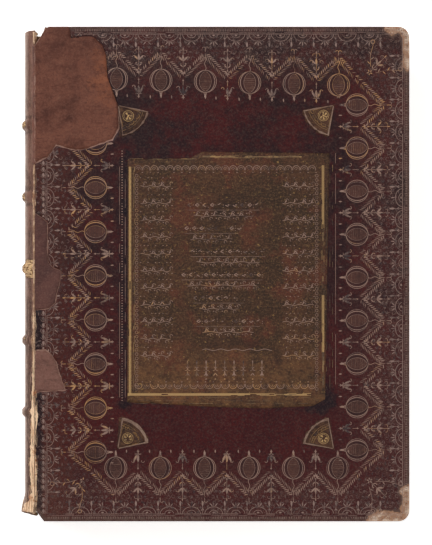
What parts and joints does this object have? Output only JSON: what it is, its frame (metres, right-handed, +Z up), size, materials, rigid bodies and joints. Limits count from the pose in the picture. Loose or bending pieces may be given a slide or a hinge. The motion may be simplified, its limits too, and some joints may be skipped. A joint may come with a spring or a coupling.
{
  "type": "antique leather-bound book",
  "caption": "Large leather-bound book with laced boards, raised bands on the spine, a tooled front cover with worn onlays, and covers that open.",
  "frame": {"origin": "centre of the base of the closed book's bounding box, on the outer face of the back cover", "axes": "+Z up through the thickness from back cover to front cover, +Y towards the head, +X towards the fore edge, spine at -X"},
  "size_m": [0.26, 0.33, 0.0455],
  "materials": {
    "covering_leather": "dark oxblood calf, polished by handling and blind and gilt tooled",
    "repair_leather": "plain brown calf, dull",
    "spine_leather": "rubbed and faded brown calf",
    "onlay_leather": "worn brown goatskin with remains of gilding",
    "fan_leather": "worn gilt onlay",
    "pasteboard": "raw pasteboard",
    "leaves": "aged rag paper, edges dusty",
    "endpaper": "aged laid paper",
    "hemp_cord": "raw hemp",
    "tooling_gold": "tarnished gold leaf in the tooling",
    "endband_thread": "linen thread over a rolled core"
  },
  "bodies": {
    "back_cover": {"back_board": "pasteboard", "back_cover_leather": "covering_leather", "back_pastedown": "endpaper", "back_lacing_slips": "hemp_cord"},
    "text_block": {"text_block": "leaves", "front_endleaf": "endpaper", "back_endleaf": "endpaper", "spine_lining": "endpaper", "band_cord_1": "hemp_cord", "band_cord_2": "hemp_cord", "band_cord_3": "hemp_cord", "band_cord_4": "hemp_cord", "band_cord_5": "hemp_cord", "head_endband": "endband_thread", "tail_endband": "endband_thread", "spine_leather": "spine_leather"},
    "front_cover": {"front_board": "pasteboard", "front_cover_leather": "covering_leather", "front_pastedown": "endpaper", "front_lacing_slips": "hemp_cord", "head_patch": "repair_leather", "middle_patch": "repair_leather", "lower_patch": "repair_leather", "centre_panel": "onlay_leather", "corner_fan_head_spine": "fan_leather", "corner_fan_head_fore": "fan_leather", "corner_fan_tail_spine": "fan_leather", "corner_fan_tail_fore": "fan_leather"}
  },
  "joints": [
    {"name": "back_hinge", "type": "hinge", "parent": "back_cover", "child": "text_block", "pos_m": [-0.12, 0, 0], "axis": [0, -1, 0], "range_deg": [0, 120]},
    {"name": "front_hinge", "type": "hinge", "parent": "text_block", "child": "front_cover", "pos_m": [-0.12, 0, 0.045], "axis": [0, -1, 0], "range_deg": [0, 180]}
  ]
}
